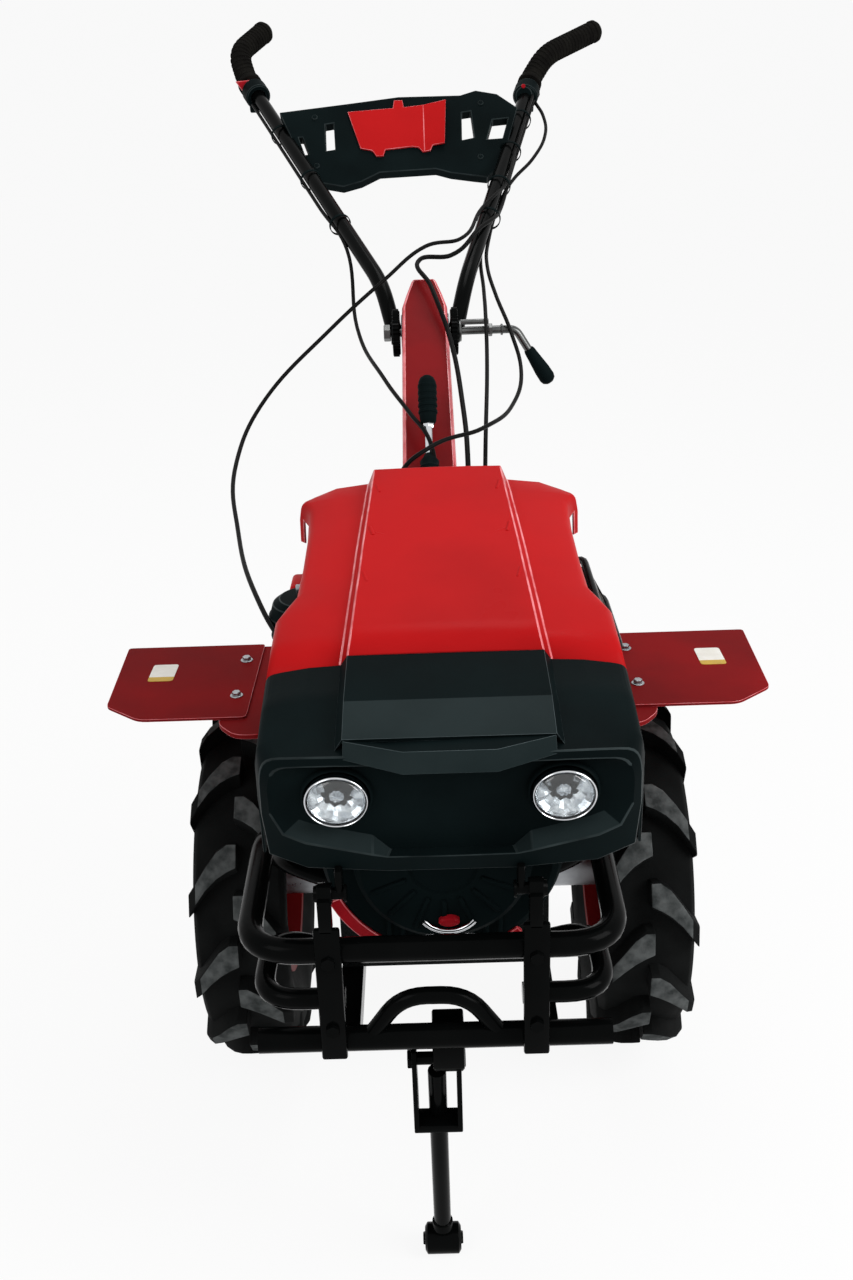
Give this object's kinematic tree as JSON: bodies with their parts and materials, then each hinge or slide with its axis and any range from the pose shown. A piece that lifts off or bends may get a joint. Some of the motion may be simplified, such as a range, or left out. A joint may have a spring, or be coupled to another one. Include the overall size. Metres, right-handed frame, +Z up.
{
  "type": "two-wheel walking power weeder",
  "caption": "Walking power weeder with a tilting bonnet over its engine, lugged wheels, front guard and stand, and a tilting handlebar.",
  "frame": {"origin": "on the ground under the middle of the whole machine", "axes": "+Z up, the front of the machine towards -Y, handlebar towards +Y, +X to the left of the operator"},
  "size_m": [0.714, 1.5426, 1.1808],
  "materials": {
    "red_paint": "gloss enamel",
    "dark_red_paint": "satin enamel",
    "black_paint": "gloss powder coat",
    "black_plastic": "moulded, fine grain",
    "grey_casting": "painted casting",
    "engine_alloy": "die cast",
    "steel": "plain",
    "muffler_steel": "heat resistant black",
    "tyre_rubber": "moulded rubber",
    "foam": "closed cell foam",
    "cable_sheath": "smooth",
    "lamp_glass": "clear"
  },
  "bodies": {
    "chassis": {"engine_block": "engine_alloy", "fan_housing": "black_plastic", "starter_cover": "black_plastic", "engine_frame": "red_paint", "air_cleaner": "black_plastic", "muffler": "muffler_steel", "gearbox": "grey_casting", "axle_housing": "grey_casting", "rear_hitch": "black_paint", "bumper_top": "black_paint", "bumper_loops": "black_paint", "bumper_plates": "black_paint", "bumper_bottom": "black_paint", "tow_arch": "black_paint", "fender_left": "dark_red_paint", "fender_right": "dark_red_paint", "fender_bracket_left": "dark_red_paint", "fender_bracket_right": "dark_red_paint", "column": "red_paint", "gear_lever": "black_plastic", "cable_throttle": "cable_sheath", "cable_clutch": "cable_sheath", "cable_gear": "cable_sheath", "cable_drive": "cable_sheath", "cable_brake": "cable_sheath"},
    "wheel_left": {"tyre_left": "tyre_rubber", "rim_left": "red_paint", "hub_left": "steel"},
    "wheel_right": {"tyre_right": "tyre_rubber", "rim_right": "red_paint", "hub_right": "steel"},
    "stand": {"stand_yoke": "black_paint", "stand_leg": "black_paint", "stand_foot": "black_paint"},
    "bonnet": {"bonnet_shell": "red_paint", "bonnet_front": "black_plastic", "headlamp_left": "lamp_glass", "headlamp_right": "lamp_glass"},
    "handlebar": {"handle_tube_left": "black_paint", "handle_tube_right": "black_paint", "clamp_crank": "black_paint", "handle_panel": "black_plastic", "panel_plate": "red_paint", "grip_left": "foam", "grip_right": "foam", "hand_lever_left": "black_plastic", "hand_lever_right": "black_plastic"}
  },
  "joints": [
    {"name": "wheel_left_spin", "type": "hinge", "parent": "chassis", "child": "wheel_left", "pos_m": [0.22, -0.316, 0.206], "axis": [1, 0, 0], "continuous": true},
    {"name": "wheel_right_spin", "type": "hinge", "parent": "chassis", "child": "wheel_right", "pos_m": [-0.22, -0.316, 0.206], "axis": [1, 0, 0], "continuous": true},
    {"name": "stand_fold", "type": "hinge", "parent": "chassis", "child": "stand", "pos_m": [0, -0.73, 0.281], "axis": [1, 0, 0], "range_deg": [0, 75]},
    {"name": "bonnet_tilt", "type": "hinge", "parent": "chassis", "child": "bonnet", "pos_m": [0, -0.758, 0.477], "axis": [1, 0, 0], "range_deg": [0, 50]},
    {"name": "handle_tilt", "type": "hinge", "parent": "chassis", "child": "handlebar", "pos_m": [0, 0.099, 0.775], "axis": [1, 0, 0], "range_deg": [-25, 20], "deforming": ["cable_throttle", "cable_clutch", "cable_gear", "cable_drive", "cable_brake"]}
  ]
}
